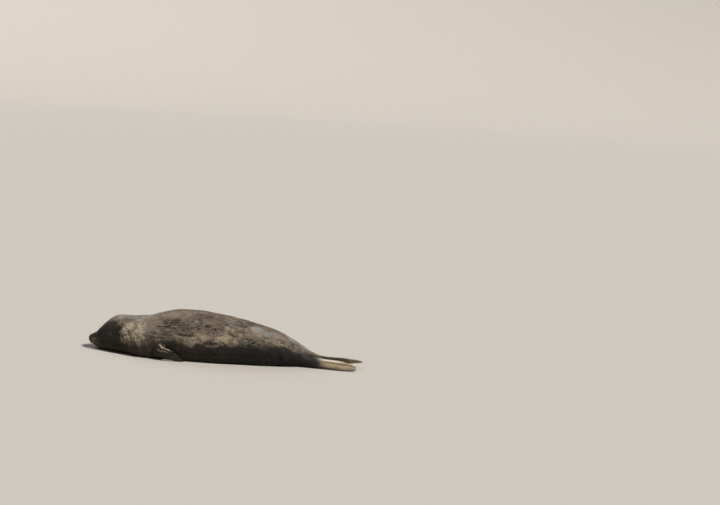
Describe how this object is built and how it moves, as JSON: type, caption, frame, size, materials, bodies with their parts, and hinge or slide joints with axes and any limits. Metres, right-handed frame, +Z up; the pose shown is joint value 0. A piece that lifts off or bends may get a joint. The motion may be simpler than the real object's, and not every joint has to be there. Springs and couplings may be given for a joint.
{
  "type": "elephant seal",
  "caption": "Life-size elephant seal lying on its belly with its chin on the ground, the neck turned aside, fore flippers folded back along the flanks and hind flippers trailing.",
  "frame": {"origin": "on the ground, under the middle of the animal's bounding box", "axes": "+Z up, head towards -X, the animal's left side towards -Y"},
  "size_m": [2.9052, 0.6922, 0.4884],
  "materials": {
    "hide": "short matt fur, taupe brown with grey patches",
    "eye": "wet, glossy and almost black",
    "claw": "smooth dark horn"
  },
  "bodies": {
    "root": {"head": "hide", "lower_jaw": "hide", "neck": "hide", "trunk": "hide", "rump": "hide", "tail": "hide", "left_fore_flipper": "hide", "right_fore_flipper": "hide", "left_hind_flipper": "hide", "right_hind_flipper": "hide", "left_eye": "eye", "right_eye": "eye", "left_fore_claw_1": "claw", "left_fore_claw_2": "claw", "left_fore_claw_3": "claw", "left_fore_claw_4": "claw", "left_fore_claw_5": "claw", "right_fore_claw_1": "claw", "right_fore_claw_2": "claw", "right_fore_claw_3": "claw", "right_fore_claw_4": "claw", "right_fore_claw_5": "claw"}
  },
  "joints": []
}
